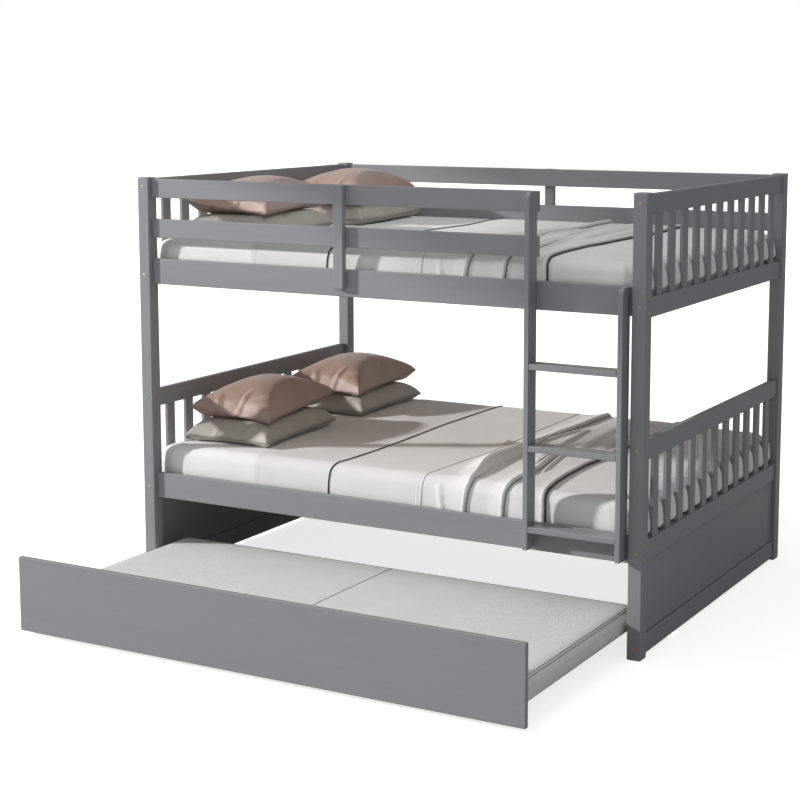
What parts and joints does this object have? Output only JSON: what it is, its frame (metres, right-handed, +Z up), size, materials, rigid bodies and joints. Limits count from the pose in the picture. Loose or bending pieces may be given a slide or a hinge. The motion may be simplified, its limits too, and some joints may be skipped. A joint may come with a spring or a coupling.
{
  "type": "bunk bed with trundle",
  "caption": "Full-over-full wooden bunk bed with slatted ends, guard rails, an upright ladder and a low trundle bed that rolls out from under the lower bunk",
  "frame": {"origin": "middle of the footprint on the floor, with the trundle pulled out as in the picture", "axes": "+X runs from the head end to the foot end, +Y from the trundle's front to the wall side, +Z up"},
  "size_m": [2.019, 2.2042, 1.525],
  "materials": {
    "grey_paint": "satin grey paint over smooth solid wood",
    "pale_wood": "bare planed pine",
    "white_sheet": "smooth white cotton fitted sheet over a foam and spring mattress",
    "blanket_cloth": "soft warm grey cotton with dark piping",
    "taupe_satin": "taupe cotton satin",
    "rose_satin": "dusty rose cotton satin",
    "trundle_cover": "light grey knitted mattress cover",
    "zinc_steel": "zinc-plated pressed steel",
    "black_rubber": "matt black rubber tread"
  },
  "bodies": {
    "bed_frame": {"head_front_post": "grey_paint", "head_back_post": "grey_paint", "foot_front_post": "grey_paint", "foot_back_post": "grey_paint", "head_upper_frame": "grey_paint", "head_lower_frame": "grey_paint", "head_bottom_rail": "grey_paint", "head_skirt_panel": "grey_paint", "foot_upper_frame": "grey_paint", "foot_lower_frame": "grey_paint", "foot_bottom_rail": "grey_paint", "foot_skirt_panel": "grey_paint", "lower_front_rail": "grey_paint", "lower_back_rail": "grey_paint", "upper_front_rail": "grey_paint", "upper_back_rail": "grey_paint", "front_top_guard": "grey_paint", "front_low_guard": "grey_paint", "back_top_guard": "grey_paint", "back_low_guard": "grey_paint", "front_guard_brace": "grey_paint", "back_guard_brace": "grey_paint", "ladder_left_stile": "grey_paint", "ladder_right_stile": "grey_paint", "ladder_rung_1": "grey_paint", "ladder_rung_2": "grey_paint", "ladder_rung_3": "grey_paint", "lower_centre_beam": "pale_wood", "upper_centre_beam": "pale_wood", "lower_slats": "pale_wood", "upper_slats": "pale_wood", "lower_mattress": "white_sheet", "lower_blanket": "blanket_cloth", "lower_front_pillow_low": "taupe_satin", "lower_front_pillow_top": "rose_satin", "lower_back_pillow_low": "taupe_satin", "lower_back_pillow_top": "rose_satin", "upper_mattress": "white_sheet", "upper_blanket": "blanket_cloth", "upper_front_pillow_low": "taupe_satin", "upper_front_pillow_top": "rose_satin", "upper_back_pillow_low": "taupe_satin", "upper_back_pillow_top": "rose_satin"},
    "trundle": {"trundle_front": "grey_paint", "trundle_front_rail": "pale_wood", "trundle_back_rail": "grey_paint", "trundle_left_rail": "pale_wood", "trundle_right_rail": "pale_wood", "trundle_slats": "pale_wood", "trundle_mattress": "trundle_cover", "caster_bracket_front_left": "zinc_steel", "caster_bracket_back_left": "zinc_steel", "caster_bracket_front_right": "zinc_steel", "caster_bracket_back_right": "zinc_steel"},
    "wheel_front_left": {"caster_wheel_front_left": "black_rubber"},
    "wheel_back_left": {"caster_wheel_back_left": "black_rubber"},
    "wheel_front_right": {"caster_wheel_front_right": "black_rubber"},
    "wheel_back_right": {"caster_wheel_back_right": "black_rubber"}
  },
  "joints": [
    {"name": "trundle_slide", "type": "slide", "parent": "bed_frame", "child": "trundle", "axis": [0, 1, 0], "range_m": [-0.2, 0.75]},
    {"name": "wheel_front_left_roll", "type": "hinge", "parent": "trundle", "child": "wheel_front_left", "pos_m": [-0.8355, -1.01415, 0.022], "axis": [1, 0, 0], "continuous": true},
    {"name": "wheel_back_left_roll", "type": "hinge", "parent": "trundle", "child": "wheel_back_left", "pos_m": [-0.8355, -0.25315, 0.022], "axis": [1, 0, 0], "continuous": true},
    {"name": "wheel_front_right_roll", "type": "hinge", "parent": "trundle", "child": "wheel_front_right", "pos_m": [0.8355, -1.01415, 0.022], "axis": [1, 0, 0], "continuous": true},
    {"name": "wheel_back_right_roll", "type": "hinge", "parent": "trundle", "child": "wheel_back_right", "pos_m": [0.8355, -0.25315, 0.022], "axis": [1, 0, 0], "continuous": true}
  ],
  "couplings": [
    {"joint": "wheel_front_left_roll", "follows": "trundle_slide", "rad_per_m": -45.455},
    {"joint": "wheel_back_left_roll", "follows": "trundle_slide", "rad_per_m": -45.455},
    {"joint": "wheel_front_right_roll", "follows": "trundle_slide", "rad_per_m": -45.455},
    {"joint": "wheel_back_right_roll", "follows": "trundle_slide", "rad_per_m": -45.455}
  ]
}
